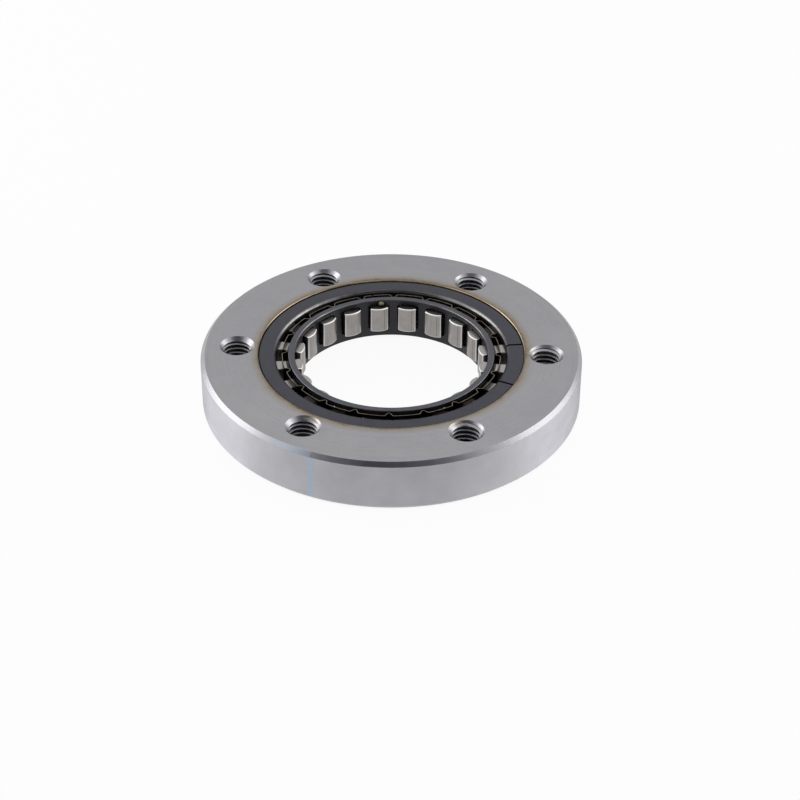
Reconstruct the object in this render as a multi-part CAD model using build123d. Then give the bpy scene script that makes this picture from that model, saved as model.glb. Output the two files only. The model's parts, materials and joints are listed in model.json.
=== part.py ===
from build123d import *

import math
import os

# A flanged sprag clutch: a bolt-on outer ring, with a cage unit of tilting sprags in its bore.
# Units are millimetres. The origin is the centre of the ring's lower face. +Z is the clutch's axis,
# towards the face that the cage's flange lies in. Angles are in degrees from +X.

# ---- races: radial sizes count outwards from the hub ------------------------------------------------
hub_diameter = 45.0  # the shaft that the sprags grip, which is not part of the clutch
race_annulus = 9.23  # radial space between the hub and the race in the ring's bore

# ---- outer ring ---------------------------------------------------------------------------------------
ring_height = 13.7
bolt_circle_margin = 5.5  # radial, from the flange's pocket to the bolt circle
rim_margin = 9.0  # radial, from the bolt circle to the ring's outside
bolt_count = 6
tapping_diameter = 6.8  # for M8 threads
countersink_diameter = 8.8
upper_rim_chamfer = 1.05
lower_rim_chamfer = 1.2
race_lead_in = 0.6  # chamfer on the race's lower edge

# ---- sprags -------------------------------------------------------------------------------------------
sprag_count = 20
first_sprag_angle = 10.5
sprag_length = 6.9
sprag_rise = 0.4  # how far the sprags' middle lies above the cages' middle
sprag_head_width = 4.85
sprag_waist_width = 3.3
outer_cam_radius = 3.4
inner_cam_radius = 4.6
cam_offset = 0.45  # the inner cam's centre lies this far to one side, which makes the sprag wedge
free_reach = 0.145  # how far the tips stand inside the hub's surface while no hub is fitted
race_clearance = 0.05
nose_radius = 1.2  # the corner of the inner head that never touches the hub
heel_chamfer = 0.45  # the inner head's other corner
corner_chamfer = 0.35  # the outer head's corners

# ---- pressed cages ------------------------------------------------------------------------------------
outer_cage_thickness = 1.2
inner_cage_thickness = 1.6
cage_height = 11.0
outer_cage_gap = 1.45  # from the race to the outer cage's wall
inner_cage_gap = 1.9  # from the hub to the inner cage's wall
bend_chamfer = 0.6  # the outside of the bend between the outer cage's wall and its flange
flange_overlap = 1.52  # how far the flange reaches past the race
flange_recess = 0.4  # from the ring's upper face down to the flange
pocket_clearance = 0.25  # round the flange
seat_clearance = 0.05  # under the flange
outer_window_clearance = 0.65  # on each side of a sprag's head
inner_window_clearance = 0.4
outer_window_end_gap = 0.25  # above and below a sprag
inner_window_end_gap = 0.6

# ---- drag tab in the outer cage's flange, between two slits -------------------------------------------
tab_span = 32.0
tab_sprag_offset = -1  # the tab's middle is at this sprag, counted from the first
tab_set = 0.12  # how far the tab is sprung out past the flange
slit_width = 0.35

# ---- ribbon spring ------------------------------------------------------------------------------------
ribbon_thickness = 0.25
ribbon_inset = 0.5  # from the cages' ends to the ribbon's edges
ribbon_gap = 0.6  # from the outer cage's wall to the ribbon
ribbon_window_clearance = 0.6  # on each side of a sprag's waist
ribbon_window_end_gap = 0.15
crimp_gap = 0.85  # from the inner cage to the tips of the crimps
crimp_foot_width = 2.5
crimp_tip_width = 0.8
end_slot = 0.3  # between the ribbon's two ends
hook_width = 1.5
hook_reach = 0.35  # how far the hook comes short of the inner cage's inner face
hook_rise = 0.17  # from the sprag's end up to the hook

# ---- sizes that follow from the ones above -------------------------------------------------------------
pitch_angle = 360 / sprag_count

hub_radius = hub_diameter / 2
race_radius = hub_radius + race_annulus
flange_radius = race_radius + flange_overlap
pocket_radius = flange_radius + pocket_clearance
bolt_circle_radius = pocket_radius + bolt_circle_margin
ring_radius = bolt_circle_radius + rim_margin

flange_top = ring_height - flange_recess
flange_underside = flange_top - outer_cage_thickness
pocket_floor = flange_underside - seat_clearance
cage_bottom = flange_top - cage_height
cage_middle = (flange_top + cage_bottom) / 2

outer_wall_outside = race_radius - outer_cage_gap
outer_wall_inside = outer_wall_outside - outer_cage_thickness
inner_wall_inside = hub_radius + inner_cage_gap
inner_wall_outside = inner_wall_inside + inner_cage_thickness

pivot_radius = race_radius - race_clearance - outer_cam_radius
sprag_tip_radius = hub_radius - free_reach
inner_cam_centre = math.sqrt((sprag_tip_radius + inner_cam_radius) ** 2 - cam_offset**2)
sprag_middle = cage_middle + sprag_rise
sprag_top = sprag_middle + sprag_length / 2

ribbon_outside = outer_wall_inside - ribbon_gap
ribbon_inside = ribbon_outside - ribbon_thickness
ribbon_height = cage_height - 2 * ribbon_inset
crimp_tip_radius = inner_wall_outside + crimp_gap


def section(points):
    """A flat section in the plane through the axis, from radius and height pairs."""
    return make_face(Polyline(*points, close=True))


def turned(flat_section, angle=360.0):
    """The solid that a section sweeps about the clutch's axis, starting at +X."""
    return revolve(Plane.XZ * flat_section, Axis.Z, angle)


def corners(flat_section, *points):
    """The section's corners that lie at the given points."""
    return [flat_section.vertices().sort_by_distance((*point, 0))[0] for point in points]


def around(shape, angle):
    """The shape turned about the clutch's axis."""
    return Rot(0, 0, angle) * shape


def sprag_angle(number):
    return first_sprag_angle + number * pitch_angle


def window_cutter(inside, outside, width, height):
    """A window through a cage's wall at +X, as the solid that cuts it."""
    margin = 0.3
    face_plane = Plane(origin=(inside - margin, 0, sprag_middle), x_dir=(0, 1, 0), z_dir=(1, 0, 0))
    return extrude(face_plane * Rectangle(width, height), outside - inside + 2 * margin)


def threaded_hole():
    """One of the ring's tapped holes, at its tapping size, countersunk in the upper face."""
    core = tapping_diameter / 2
    mouth = countersink_diameter / 2
    points = [(0, 0), (core, 0), (core, ring_height - mouth + core), (mouth, ring_height), (0, ring_height)]
    return Pos(bolt_circle_radius, 0, 0) * turned(section(points))


def housing():
    """The outer ring: hardened race, pocket for the cage's flange, chamfered rim and bolt holes."""
    points = [
        (race_radius + race_lead_in, 0),
        (ring_radius - lower_rim_chamfer, 0),
        (ring_radius, lower_rim_chamfer),
        (ring_radius, ring_height - upper_rim_chamfer),
        (ring_radius - upper_rim_chamfer, ring_height),
        (pocket_radius, ring_height),
        (pocket_radius, pocket_floor),
        (race_radius, pocket_floor),
        (race_radius, race_lead_in),
    ]
    holes = [around(threaded_hole(), number * 360 / bolt_count) for number in range(bolt_count)]
    return turned(section(points)) - holes


def outer_cage():
    """The outer cage: a pressed wall with a window for each sprag, and a flange with a drag tab."""
    points = [
        (outer_wall_inside, cage_bottom),
        (outer_wall_outside, cage_bottom),
        (outer_wall_outside, flange_underside),
        (flange_radius, flange_underside),
        (flange_radius, flange_top),
        (outer_wall_inside, flange_top),
    ]
    profile = section(points)
    profile = chamfer(corners(profile, points[5]), bend_chamfer)
    tab_middle = sprag_angle(tab_sprag_offset)
    tab_edge = section(
        [
            (flange_radius - outer_cage_thickness, flange_underside),
            (flange_radius + tab_set, flange_underside),
            (flange_radius + tab_set, flange_top),
            (flange_radius - outer_cage_thickness, flange_top),
        ]
    )
    cage = turned(profile) + around(turned(tab_edge, tab_span), tab_middle - tab_span / 2)

    window_width = sprag_head_width + 2 * outer_window_clearance
    window_height = sprag_length + 2 * outer_window_end_gap
    window = window_cutter(outer_wall_inside, outer_wall_outside, window_width, window_height)
    windows = [around(window, sprag_angle(number)) for number in range(sprag_count)]

    slit_bottom = sprag_middle + window_height / 2 - slit_width
    slit = Pos(outer_wall_inside - 1, 0, slit_bottom) * Box(
        flange_radius + tab_set - outer_wall_inside + 2,
        slit_width,
        flange_top - slit_bottom + 1,
        align=(Align.MIN, Align.CENTER, Align.MIN),
    )
    slits = [around(slit, tab_middle + side * tab_span / 2) for side in (-1, 1)]
    return cage - windows - slits


def inner_cage():
    """The inner cage: a plain ring with one window for each sprag."""
    points = [
        (inner_wall_inside, cage_bottom),
        (inner_wall_outside, cage_bottom),
        (inner_wall_outside, flange_top),
        (inner_wall_inside, flange_top),
    ]
    window_width = sprag_head_width + 2 * inner_window_clearance
    window_height = sprag_length + 2 * inner_window_end_gap
    window = window_cutter(inner_wall_inside, inner_wall_outside, window_width, window_height)
    windows = [around(window, sprag_angle(number)) for number in range(sprag_count)]
    return turned(section(points)) - windows


def crimp(outwards):
    """The outline of one inward crimp at +X, its foot carried past the ribbon by the given length."""
    slope = (crimp_foot_width - crimp_tip_width) / 2 / (ribbon_outside - crimp_tip_radius)
    foot = crimp_foot_width / 2 + slope * outwards
    tip = crimp_tip_width / 2
    points = [
        (ribbon_outside + outwards, -foot),
        (ribbon_outside + outwards, foot),
        (crimp_tip_radius, tip),
        (crimp_tip_radius, -tip),
    ]
    return make_face(Polyline(*points, close=True))


def ribbon_hook():
    """The hook at one end of the ribbon, which reaches through the inner cage above a sprag."""
    tip = inner_wall_inside + hook_reach
    blade = Box(
        ribbon_outside - tip - ribbon_thickness / 2,
        hook_width,
        ribbon_thickness,
        align=(Align.MIN, Align.CENTER, Align.MIN),
    )
    blade = fillet(blade.edges().filter_by(Axis.Z).group_by(Axis.X)[0], hook_width / 3)
    return Pos(tip, 0, sprag_top + hook_rise) * blade


def ribbon_spring():
    """The ribbon spring: a windowed strip between the cages, crimped inwards between the sprags."""
    outer_crimp = crimp(0.1)
    inner_crimp = offset(crimp(1.0), -ribbon_thickness)
    crimp_angles = [sprag_angle(number) + pitch_angle / 2 for number in range(sprag_count)]
    strip = Circle(ribbon_outside) - Circle(ribbon_inside)
    strip = strip + [around(outer_crimp, angle) for angle in crimp_angles]
    strip = strip - [around(inner_crimp, angle) for angle in crimp_angles]
    strip = strip & Circle(ribbon_outside)
    ribbon = Pos(0, 0, cage_bottom + ribbon_inset) * extrude(strip, ribbon_height)

    window_width = sprag_waist_width + 2 * ribbon_window_clearance
    window_height = sprag_length + 2 * ribbon_window_end_gap
    window = window_cutter(ribbon_inside, ribbon_outside, window_width, window_height)
    ribbon = ribbon - [around(window, sprag_angle(number)) for number in range(sprag_count)]

    hook_sprag = sprag_count // 4
    slot_angle = sprag_angle(hook_sprag) + math.degrees((hook_width + end_slot) / 2 / ribbon_inside) + 1
    slot = Pos(ribbon_inside, 0, cage_middle) * Box(2, end_slot, cage_height)
    return ribbon + around(ribbon_hook(), sprag_angle(hook_sprag)) - around(slot, slot_angle)


def sprag():
    """A sprag at +X: two cams on offset centres, joined by a waist that passes through the ribbon."""
    half = sprag_head_width / 2
    outer_corner = pivot_radius + math.sqrt(outer_cam_radius**2 - half**2)
    nose_corner = inner_cam_centre - math.sqrt(inner_cam_radius**2 - (half + cam_offset) ** 2)
    heel_corner = inner_cam_centre - math.sqrt(inner_cam_radius**2 - (half - cam_offset) ** 2)
    waist = sprag_waist_width / 2
    outer_cam = ThreePointArc(
        (outer_corner, -half), (pivot_radius + outer_cam_radius, 0), (outer_corner, half)
    )
    inner_cam = ThreePointArc(
        (heel_corner, half), (inner_cam_centre - inner_cam_radius, cam_offset), (nose_corner, -half)
    )
    heel_side = Polyline((outer_corner, half), (pivot_radius, waist), (heel_corner, half))
    nose_side = Polyline((nose_corner, -half), (pivot_radius, -waist), (outer_corner, -half))
    profile = make_face([outer_cam, heel_side, inner_cam, nose_side])
    profile = chamfer(corners(profile, (outer_corner, half), (outer_corner, -half)), corner_chamfer)
    profile = chamfer(corners(profile, (heel_corner, half)), heel_chamfer)
    profile = fillet(corners(profile, (nose_corner, -half)), nose_radius)
    return Pos(0, 0, sprag_middle - sprag_length / 2) * extrude(profile, sprag_length)


os.makedirs("parts", exist_ok=True)
export_step(housing(), "parts/housing.step")
export_step(outer_cage(), "parts/outer_cage.step")
export_step(inner_cage(), "parts/inner_cage.step")
export_step(ribbon_spring(), "parts/ribbon_spring.step")
one_sprag = sprag()
for number in range(sprag_count):
    export_step(around(one_sprag, sprag_angle(number)), f"parts/sprag_{number + 1:02d}.step")
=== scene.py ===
# %% [markdown]
# # A flanged sprag clutch
#
# The real thing is a steel ring, bolted to a flywheel, with a unit of twenty sprags in its bore. The solid
# model already fixes every size and joint, so this lesson makes the same pieces again with the detail that
# a camera sees: rolled edges, tapped threads, bent sheet and the marks that turning, phosphating and
# tempering leave. Everything is in metres, in the solid model's own frame, with the clutch's axis along Z.

import json
import math

import bmesh
import bpy
from mathutils import Matrix, Vector

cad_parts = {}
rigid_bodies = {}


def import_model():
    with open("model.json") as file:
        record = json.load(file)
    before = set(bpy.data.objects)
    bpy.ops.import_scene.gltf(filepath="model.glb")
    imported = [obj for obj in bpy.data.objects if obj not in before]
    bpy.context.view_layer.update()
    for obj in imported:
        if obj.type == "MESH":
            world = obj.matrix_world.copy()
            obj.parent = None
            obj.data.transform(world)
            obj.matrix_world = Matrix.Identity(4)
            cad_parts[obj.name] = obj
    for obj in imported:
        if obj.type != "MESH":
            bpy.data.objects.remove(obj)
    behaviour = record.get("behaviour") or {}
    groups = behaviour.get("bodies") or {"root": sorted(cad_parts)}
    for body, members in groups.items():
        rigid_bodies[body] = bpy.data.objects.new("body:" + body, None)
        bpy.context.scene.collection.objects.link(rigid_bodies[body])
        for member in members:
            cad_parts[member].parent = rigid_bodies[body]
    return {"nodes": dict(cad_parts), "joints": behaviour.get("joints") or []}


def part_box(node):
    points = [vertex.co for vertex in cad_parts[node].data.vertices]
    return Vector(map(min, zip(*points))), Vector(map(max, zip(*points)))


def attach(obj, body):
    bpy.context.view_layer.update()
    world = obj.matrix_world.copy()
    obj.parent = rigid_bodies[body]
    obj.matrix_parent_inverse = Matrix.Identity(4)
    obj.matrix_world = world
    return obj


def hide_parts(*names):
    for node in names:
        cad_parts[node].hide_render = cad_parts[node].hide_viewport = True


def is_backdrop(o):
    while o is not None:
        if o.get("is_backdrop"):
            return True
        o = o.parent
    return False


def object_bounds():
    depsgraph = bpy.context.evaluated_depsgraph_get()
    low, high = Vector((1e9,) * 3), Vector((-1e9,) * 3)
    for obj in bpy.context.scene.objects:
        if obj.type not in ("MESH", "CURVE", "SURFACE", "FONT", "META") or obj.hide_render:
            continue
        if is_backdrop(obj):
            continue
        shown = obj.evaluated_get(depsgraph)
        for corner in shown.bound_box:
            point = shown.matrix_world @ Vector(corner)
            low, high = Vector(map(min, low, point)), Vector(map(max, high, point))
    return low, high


bpy.ops.object.select_all(action="SELECT")
bpy.ops.object.delete()
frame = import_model()
solid_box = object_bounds()
print("solid model:", [round(high - low, 5) for low, high in zip(*solid_box)])

# %% [markdown]
# ## Sizes
#
# Heights and the sprags' places are read from the solid model, so a changed solid model moves the pieces with
# it.
# Radii are named here in millimetres, because a faceted ring's box is a hair smaller than the ring. The
# sprags' joints give the pitch circle on which they stand and the angle of the first one.

# %% Read heights and sprag places
mm = 0.001
ring_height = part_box("housing")[1].z
flange_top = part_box("outer_cage")[1].z
cage_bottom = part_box("outer_cage")[0].z
sprag_low, sprag_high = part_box("sprag_01")[0].z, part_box("sprag_01")[1].z
sprag_middle = (sprag_low + sprag_high) / 2
sprag_names = sorted(name for name in frame["nodes"] if name.startswith("sprag_"))
pivots = {joint["child"]: joint["pos_m"] for joint in frame["joints"] if joint["child"] in sprag_names}
pivot_radius = math.hypot(*pivots["sprag_01"][:2])
pitch_angle = math.tau / len(sprag_names)
first_angle = math.atan2(pivots["sprag_01"][1], pivots["sprag_01"][0])
print(len(sprag_names), "sprags on a circle of", round(pivot_radius / mm, 2), "mm")
print("the first sprag's bearing:", round(math.degrees(first_angle), 1), "degrees")

# %% [markdown]
# ## Handy tools
#
# Every piece is shaped in edit mode, where an operator works on whatever is selected. So the tools here
# start from an empty selection and then pick vertices, edges or faces by where they are. A turned piece is
# easiest to describe by its distance from the axis, its angle and its height, which is what `where` gives.

# %% Tools for selecting and shaping
def clear_selection():
    """Leave edit mode and deselect every object."""
    if bpy.context.object and bpy.context.object.mode != "OBJECT":
        bpy.ops.object.mode_set(mode="OBJECT")
    bpy.ops.object.select_all(action="DESELECT")


def only(piece):
    """Make one piece the selected, active one."""
    clear_selection()
    piece.select_set(True)
    bpy.context.view_layer.objects.active = piece
    return piece


def edit(piece):
    """Enter edit mode on one piece."""
    only(piece)
    bpy.ops.object.mode_set(mode="EDIT")


def leave_edit():
    """Leave edit mode."""
    bpy.ops.object.mode_set(mode="OBJECT")


def select_whole():
    """In edit mode, select the whole mesh."""
    bpy.ops.mesh.select_all(action="SELECT")


def where(point):
    """Distance from the axis, angle and height of a point."""
    return math.hypot(point.x, point.y), math.atan2(point.y, point.x), point.z


def pick(kind, wanted):
    """In edit mode, select exactly the vertices, edges or faces whose middle passes the test."""
    bpy.ops.mesh.select_mode(type=kind)
    bpy.ops.mesh.select_all(action="DESELECT")
    mesh = bmesh.from_edit_mesh(bpy.context.object.data)
    if kind == "VERT":
        found = [vert for vert in mesh.verts if wanted(*where(vert.co))]
    elif kind == "EDGE":
        middles = {edge: (edge.verts[0].co + edge.verts[1].co) / 2 for edge in mesh.edges}
        found = [edge for edge, middle in middles.items() if wanted(*where(middle))]
    else:
        found = [face for face in mesh.faces if wanted(*where(face.calc_center_median()))]
    for part in found:
        part.select_set(True)
    bmesh.update_edit_mesh(bpy.context.object.data)
    return len(found)


def modify(piece, kind, **settings):
    """Add one modifier to a piece, set it and apply it."""
    only(piece)
    modifier = piece.modifiers.new(kind.title(), kind)
    for setting, value in settings.items():
        setattr(modifier, setting, value)
    bpy.ops.object.modifier_apply(modifier=modifier.name)


def tidy_mesh():
    """In edit mode, merge what coincides and turn every face outwards."""
    bpy.ops.mesh.select_mode(type="VERT")
    select_whole()
    bpy.ops.mesh.remove_doubles(threshold=0.001 * mm)
    bpy.ops.mesh.normals_make_consistent(inside=False)


def smooth(piece, angle=35):
    """Shade a piece smooth, with flat faces kept flat up to their rounded edges."""
    only(piece)
    bpy.ops.object.shade_smooth_by_angle(angle=math.radians(angle))
    modify(piece, "WEIGHTED_NORMAL", keep_sharp=True, weight=80)
    triangles = sum(len(face.vertices) - 2 for face in piece.data.polygons)
    print(f"{piece.name}: {len(piece.data.polygons)} faces, {triangles} triangles")


# %% [markdown]
# ## The outer ring, turned
#
# On a lathe the ring is one bar end, faced, bored and chamfered. It could be cut from a cylinder by insets
# and extrusions, but the turner's own way is shorter: draw half of the section once, then spin it about the
# axis. The section starts as a rectangle. Two bisections mark out the pocket for the cage's flange, and
# vertex bevels make the chamfers. A last small bevel breaks every corner, because no real edge is perfectly
# sharp. The two cages are spun from sections too, so each of these steps is a tool.

# %% Tools for turned pieces
def add_section(name, inside, outside, bottom, top):
    """Add the upright rectangle from which a turned piece's section is shaped, and enter edit mode."""
    clear_selection()
    middle = ((inside + outside) / 2, 0, (bottom + top) / 2)
    bpy.ops.mesh.primitive_plane_add(size=1, location=middle, rotation=(math.pi / 2, 0, 0))
    piece = bpy.context.object
    piece.name = name
    piece.scale = (outside - inside, top - bottom, 1)
    bpy.ops.object.transform_apply()
    edit(piece)
    return piece


def cut_away(wanted, *planes):
    """Bisect the section along planes, delete the faces that pass the test, and forget the other cuts."""
    for point, normal in planes:
        select_whole()
        bpy.ops.mesh.bisect(plane_co=point, plane_no=normal)
    pick("FACE", wanted)
    bpy.ops.mesh.delete(type="FACE")
    select_whole()
    bpy.ops.mesh.dissolve_limited(angle_limit=math.radians(1))


def round_corner(corner, size, segments=1):
    """Chamfer one corner of the section, or round it with more segments."""
    pick("VERT", lambda radius, angle, height: math.dist((radius, height), corner) < 0.01 * mm)
    bpy.ops.mesh.bevel(offset=size, affect="VERTICES", segments=segments)


def spin_section(piece, steps):
    """Spin the open section once round the axis and leave edit mode."""
    select_whole()
    bpy.ops.mesh.delete(type="ONLY_FACE")
    select_whole()
    bpy.ops.mesh.spin(steps=steps, angle=math.tau, center=(0, 0, 0), axis=(0, 0, 1))
    tidy_mesh()
    leave_edit()
    print(f"{piece.name}: {len(piece.data.vertices)} vertices, {round(piece.dimensions.z / mm, 2)} mm high")


# %% Draw the ring's section and spin it
race_radius = 31.73 * mm
pocket_radius = 33.5 * mm
ring_radius = 48.0 * mm
pocket_floor = ring_height - 1.45 * mm
edge_break = 0.07 * mm
ring_steps = 288
corner_chamfers = {
    (ring_radius, ring_height): 1.05 * mm,
    (ring_radius, 0.0): 1.2 * mm,
    (race_radius, 0.0): 0.6 * mm,
    (pocket_radius, ring_height): 0.2 * mm,
    (race_radius, pocket_floor): 0.15 * mm,
}

ring = add_section("turned_ring", race_radius, ring_radius, 0.0, ring_height)
cut_away(
    lambda radius, angle, height: radius < pocket_radius and height > pocket_floor,
    ((pocket_radius, 0, 0), (1, 0, 0)),
    ((0, 0, pocket_floor), (0, 0, 1)),
)
for corner, chamfer_highlight_and_shade in corner_chamfers.items():
    round_corner(corner, chamfer_highlight_and_shade)
select_whole()
bpy.ops.mesh.bevel(offset=edge_break, affect="VERTICES", segments=2)
spin_section(ring, ring_steps)

# %% [markdown]
# ## The bolt holes, countersunk and tapped
#
# Each hole is drilled, countersunk and tapped for an M8 screw with a pitch of 1.25 mm. The thread could be
# only a bump in the material, but its crests catch the light and one looks straight into them, so it is cut
# for real. The tool for that is a copy of a tap: one pitch of its edge, swept up a helix by the Screw
# modifier. Two cones make the countersinks. Each tool is made once, copied round the bolt circle, and taken
# from the ring.

# %% Make the countersink cones
bolt_circle_radius = 39.0 * mm
bolt_count = 6
thread_pitch = 1.25 * mm
thread_core = 3.35 * mm
thread_root = 4.0 * mm
mouth_radius = 4.4 * mm
overshoot = 0.6 * mm


def duplicate(piece):
    """A copy of a piece with its own mesh."""
    copy = piece.copy()
    copy.data = piece.data.copy()
    bpy.context.collection.objects.link(copy)
    return copy


def ring_of_tools(tool, count, radius):
    """Copy a tool round the axis and join the copies into one object."""
    copies = [tool] + [duplicate(tool) for number in range(1, count)]
    clear_selection()
    for number, copy in enumerate(copies):
        copy.data.transform(Matrix.Translation((radius, 0, 0)))
        copy.data.transform(Matrix.Rotation(number * math.tau / count, 4, "Z"))
        copy.select_set(True)
    bpy.context.view_layer.objects.active = tool
    bpy.ops.object.join()
    return tool


def cut(piece, tool):
    """Take a tool from a piece, and clear the tool away."""
    modify(piece, "BOOLEAN", operation="DIFFERENCE", solver="EXACT", object=tool)
    bpy.data.objects.remove(tool)


cone_depth = mouth_radius - thread_core + 2 * overshoot
for side, face_height in ((1, ring_height), (-1, 0.0)):
    clear_selection()
    bpy.ops.mesh.primitive_cone_add(
        vertices=72,
        radius1=thread_core - overshoot,
        radius2=mouth_radius + overshoot,
        depth=cone_depth,
        location=(0, 0, face_height + side * (overshoot - cone_depth / 2)),
        rotation=(0 if side > 0 else math.pi, 0, 0),
    )
    cone = bpy.context.object
    bpy.ops.object.transform_apply()
    cut(ring, ring_of_tools(cone, bolt_count, bolt_circle_radius))
print("countersunk:", len(ring.data.polygons), "faces")

# %% Draw the edge of the tap
thread_depth = thread_root - thread_core
quarter = thread_pitch / 4
turns = math.ceil(ring_height / thread_pitch) + 3
tap_bottom = (ring_height - turns * thread_pitch) / 2
clear_selection()
bpy.ops.mesh.primitive_plane_add(
    size=thread_pitch,
    location=(thread_core + thread_pitch / 2, 0, tap_bottom + thread_pitch / 2),
    rotation=(math.pi / 2, 0, 0),
)
tap = bpy.context.object
tap.name = "tap"
bpy.ops.object.transform_apply()
edit(tap)
pick("VERT", lambda radius, angle, height: radius > thread_core + thread_pitch / 2)
bpy.ops.mesh.delete(type="VERT")
select_whole()
bpy.ops.mesh.subdivide(number_cuts=3)
for step, upwards in ((2, 0.25 * quarter), (3, -0.25 * quarter)):
    pick("VERT", lambda radius, angle, height: abs(height - tap_bottom - step * quarter) < 0.1 * quarter)
    bpy.ops.transform.translate(value=(thread_depth, 0, upwards))
leave_edit()
print("tap's edge:", len(tap.data.vertices), "vertices, teeth", round(thread_depth / mm, 2), "mm deep")

# %% Sweep the tap and cut the threads
modify(
    tap, "SCREW", axis="Z", angle=math.tau, screw_offset=thread_pitch, iterations=turns,
    steps=36, render_steps=36, use_merge_vertices=False,
)
edit(tap)
tidy_mesh()
bpy.ops.mesh.select_all(action="DESELECT")
bpy.ops.mesh.select_non_manifold()
bpy.ops.mesh.fill_holes(sides=0)
tidy_mesh()
leave_edit()
print("tap:", turns, "turns,", len(tap.data.polygons), "faces")
cut(ring, ring_of_tools(tap, bolt_count, bolt_circle_radius))
smooth(ring)
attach(ring, "outer_ring")
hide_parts("housing")

# %% [markdown]
# ## The outer cage, pressed from sheet
#
# The outer cage is a strip of steel sheet drawn into a wall with a flange rolled out at the top. It could
# be a surface with a Solidify modifier, but the rolled corner is tighter than the sheet is thick, which
# Solidify does badly. Its L-shaped section is drawn and spun like the ring's instead. The cages are made
# with a sprag at angle zero, where every window is easy to describe, and are turned to the first sprag's
# real angle at the end.

# %% Draw and spin the outer cage's section
cage_steps = 240
wall_inside = 29.08 * mm
wall_outside = 30.28 * mm
flange_radius = 33.25 * mm
flange_underside = flange_top - (wall_outside - wall_inside)

outer_cage = add_section("pressed_outer_cage", wall_inside, flange_radius, cage_bottom, flange_top)
cut_away(
    lambda radius, angle, height: radius > wall_outside and height < flange_underside,
    ((wall_outside, 0, 0), (1, 0, 0)),
    ((0, 0, flange_underside), (0, 0, 1)),
)
round_corner((wall_inside, flange_top), 1.0 * mm, 7)
round_corner((wall_outside, flange_underside), 0.2 * mm, 2)
spin_section(outer_cage, cage_steps)

# %% [markdown]
# ## Windows and slits
#
# A press punches one window for each sprag, so the model does the same: a block with rounded edges is the
# punch, and twenty copies of it go through the wall at once. A narrow bevel rounds the punched edges as
# tumbling does. It works only where faces meet at more than 50 degrees, so the curve is left. Two thin
# blades then slit the flange and leave crisp edges, and the flange between the slits is set outwards a
# little. That is the drag tab, which rubs on the ring.

# %% Punch the windows
sprag_count = len(sprag_names)
outer_window_height = 7.4 * mm
window_corner = 0.6 * mm
punch_length = 4 * mm


def add_block(size, middle):
    """Add a block of the given size round the given middle."""
    clear_selection()
    bpy.ops.mesh.primitive_cube_add(size=1, location=middle)
    block = bpy.context.object
    block.scale = size
    bpy.ops.object.transform_apply()
    return block


def window_punch(radius, width, height):
    """One rounded block for each sprag, which goes through a cage's wall."""
    punch = add_block((punch_length, width, height), (0, 0, sprag_middle))
    edit(punch)
    bpy.ops.mesh.select_mode(type="EDGE")
    bpy.ops.mesh.select_all(action="DESELECT")
    mesh = bmesh.from_edit_mesh(punch.data)
    for edge in mesh.edges:
        edge.select_set(abs((edge.verts[0].co - edge.verts[1].co).normalized().x) > 0.9)
    bmesh.update_edit_mesh(punch.data)
    bpy.ops.mesh.bevel(offset=window_corner, segments=6)
    leave_edit()
    return ring_of_tools(punch, sprag_count, radius)


cut(outer_cage, window_punch(wall_inside, 6.15 * mm, outer_window_height))
print("outer cage with windows:", len(outer_cage.data.polygons), "faces")

# %% Round the punched edges
def round_edges(piece, width, angle=50, segments=2):
    """Round the edges at which the faces meet more sharply than the angle."""
    modify(
        piece, "BEVEL", width=width, segments=segments, use_clamp_overlap=False,
        limit_method="ANGLE", angle_limit=math.radians(angle),
    )


round_edges(outer_cage, 0.1 * mm)
print("rounded:", len(outer_cage.data.polygons), "faces")

# %% Slit the flange and set the tab out
tab_middle = -pitch_angle
tab_half = math.radians(16)
tab_set = 0.12 * mm
slit_width = 0.6 * mm
slit_bottom = sprag_middle + outer_window_height / 2 - slit_width
blade_middle = 31 * mm
blade_length = 6 * mm
blade_height = 4 * mm

for side in (-1, 1):
    place = (blade_middle, 0, slit_bottom + blade_height / 2)
    blade = add_block((blade_length, slit_width, blade_height), place)
    blade.data.transform(Matrix.Rotation(tab_middle + side * tab_half, 4, "Z"))
    cut(outer_cage, blade)

edit(outer_cage)
at_rim = flange_radius - 0.4 * mm
moved = pick("VERT", lambda radius, angle, height: radius > at_rim and abs(angle - tab_middle) < tab_half)
spread = 1 + tab_set / flange_radius
bpy.ops.transform.resize(value=(spread, spread, 1), center_override=(0, 0, 0))
leave_edit()
print("tab:", moved, "vertices set out by", tab_set / mm, "mm")

# %% Hang the outer cage on its body
def settle(piece, turn, body, node):
    """Turn a finished piece to its real angle and hang it on its body in place of its CAD node."""
    piece.data.transform(Matrix.Rotation(turn, 4, "Z"))
    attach(piece, body)
    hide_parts(node)


smooth(outer_cage)
settle(outer_cage, first_angle, "cage_unit", "outer_cage")

# %% [markdown]
# ## The inner cage
#
# The inner cage is a plain ring of thicker sheet with the same number of windows, narrower than the outer
# ones because they hold the sprags' inner heads. It is made in the same steps: a section with its two upper
# corners rounded, a spin, a punch and a narrow bevel round the punched edges.

# %% Make the inner cage
inner_inside = 24.4 * mm
inner_outside = 26.0 * mm
inner_cage = add_section("pressed_inner_cage", inner_inside, inner_outside, cage_bottom, flange_top)
round_corner((inner_inside, flange_top), 0.3 * mm, 4)
round_corner((inner_outside, flange_top), 0.25 * mm, 3)
spin_section(inner_cage, cage_steps)
cut(inner_cage, window_punch(inner_inside, 5.5 * mm, 7.2 * mm))
round_edges(inner_cage, 0.12 * mm)
smooth(inner_cage)
settle(inner_cage, first_angle, "inner_cage", "inner_cage")

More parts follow.
